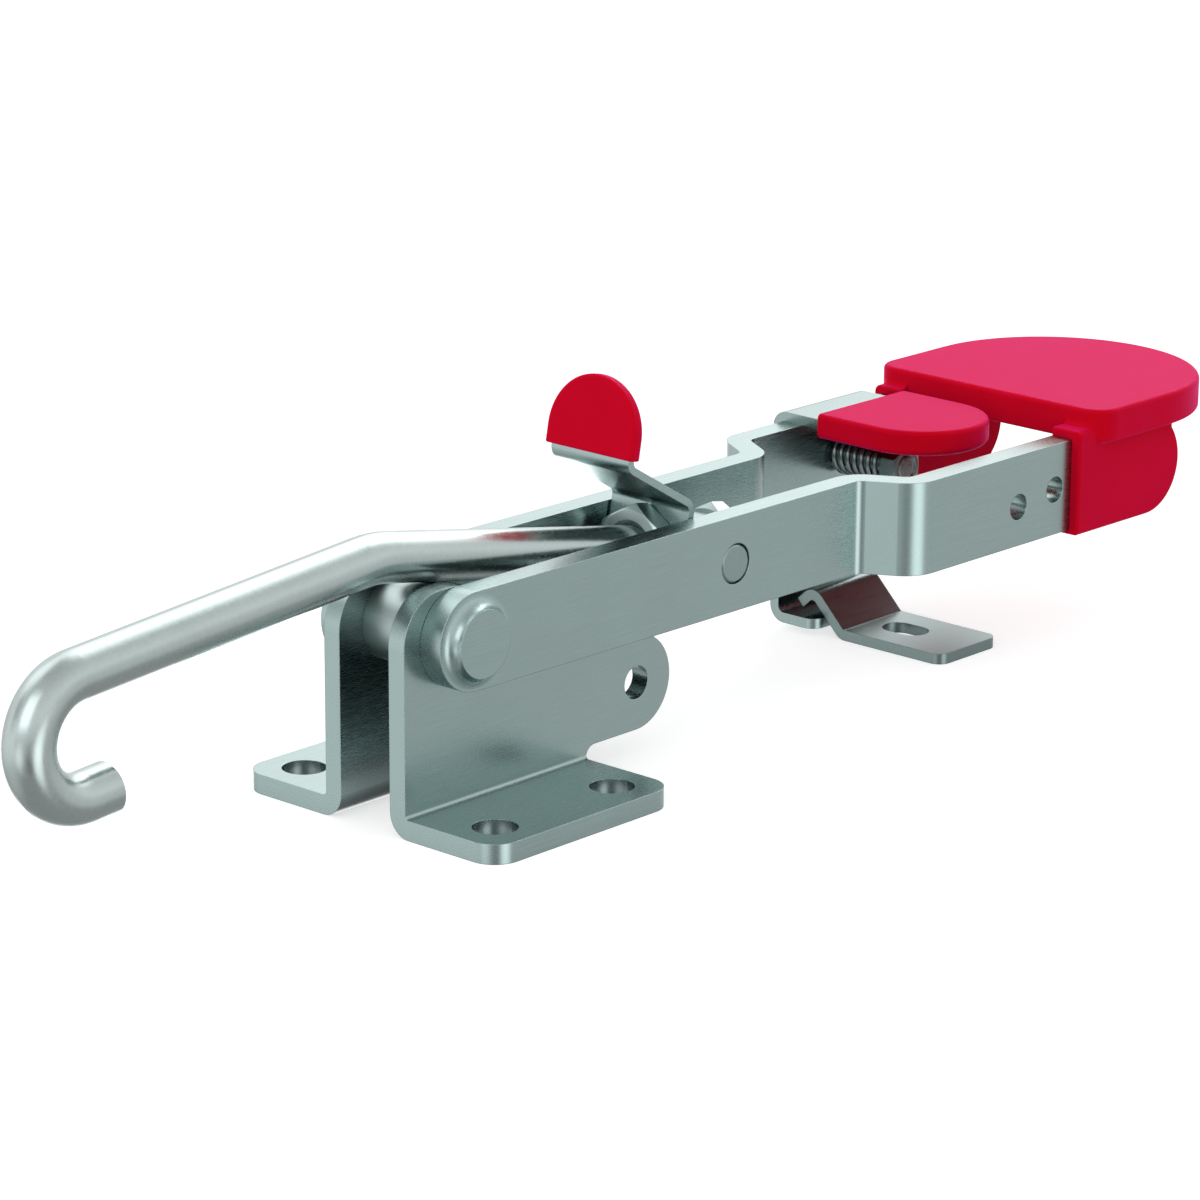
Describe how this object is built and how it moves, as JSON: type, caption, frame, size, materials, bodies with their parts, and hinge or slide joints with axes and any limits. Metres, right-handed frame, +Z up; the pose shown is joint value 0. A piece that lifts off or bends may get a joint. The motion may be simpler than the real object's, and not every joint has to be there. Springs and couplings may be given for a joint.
{
  "type": "over centre toggle latch",
  "caption": "Over centre toggle latch: adjustable J-hook on a strap handle with moulded grip and thumb tab, sprung lock lever, folded base brackets and separate keeper plate.",
  "frame": {"origin": "centre of the base brackets' hole pattern, on the mounting face", "axes": "+X from the hook to the grip, +Y to the lock lever's side, +Z up from the mounting face"},
  "size_m": [0.3224, 0.0668, 0.075],
  "materials": {
    "sheet_steel": "finely brushed stainless sheet",
    "rod_steel": "polished round bar",
    "turned_steel": "turned, satin",
    "red_plastic": "smooth moulded vinyl, satin"
  },
  "bodies": {
    "base": {"base_bracket_near": "sheet_steel", "base_bracket_far": "sheet_steel", "pivot_spacer": "turned_steel", "pivot_pin": "turned_steel", "keeper_plate": "sheet_steel"},
    "handle": {"handle_bar_near": "sheet_steel", "handle_bar_far": "sheet_steel", "grip": "red_plastic", "lock_spring": "rod_steel"},
    "hook": {"trunnion": "turned_steel", "j_hook": "rod_steel", "front_nut": "turned_steel", "rear_nut": "turned_steel", "thumb_bracket": "sheet_steel", "thumb_cap": "red_plastic"},
    "lever": {"lock_lever": "sheet_steel", "lock_lever_cap": "red_plastic"},
    "bolt": {"lock_bolt": "turned_steel", "lock_nut": "turned_steel"}
  },
  "joints": [
    {"name": "handle_swing", "type": "hinge", "parent": "base", "child": "handle", "pos_m": [-0.01076, 0, 0.0363], "axis": [0, -1, 0], "range_deg": [0, 150]},
    {"name": "hook_swing", "type": "hinge", "parent": "handle", "child": "hook", "pos_m": [0.06158, 0, 0.03577], "axis": [0, 1, 0], "range_deg": [0, 100]},
    {"name": "lock_rock", "type": "hinge", "parent": "handle", "child": "lever", "pos_m": [0.13624, 0.02105, 0.04478], "axis": [1, 0, -0.0074], "range_deg": [0, 10.3], "stiffness_Nm_per_rad": 0.6, "springref_deg": -5.73},
    {"name": "lock_slide", "type": "slide", "parent": "handle", "child": "bolt", "axis": [0, 1, 0], "range_m": [0, 0.0025], "deforming": ["lock_spring"]}
  ],
  "couplings": [
    {"joint": "lock_slide", "follows": "lock_rock", "m_per_rad": 0.0135}
  ]
}
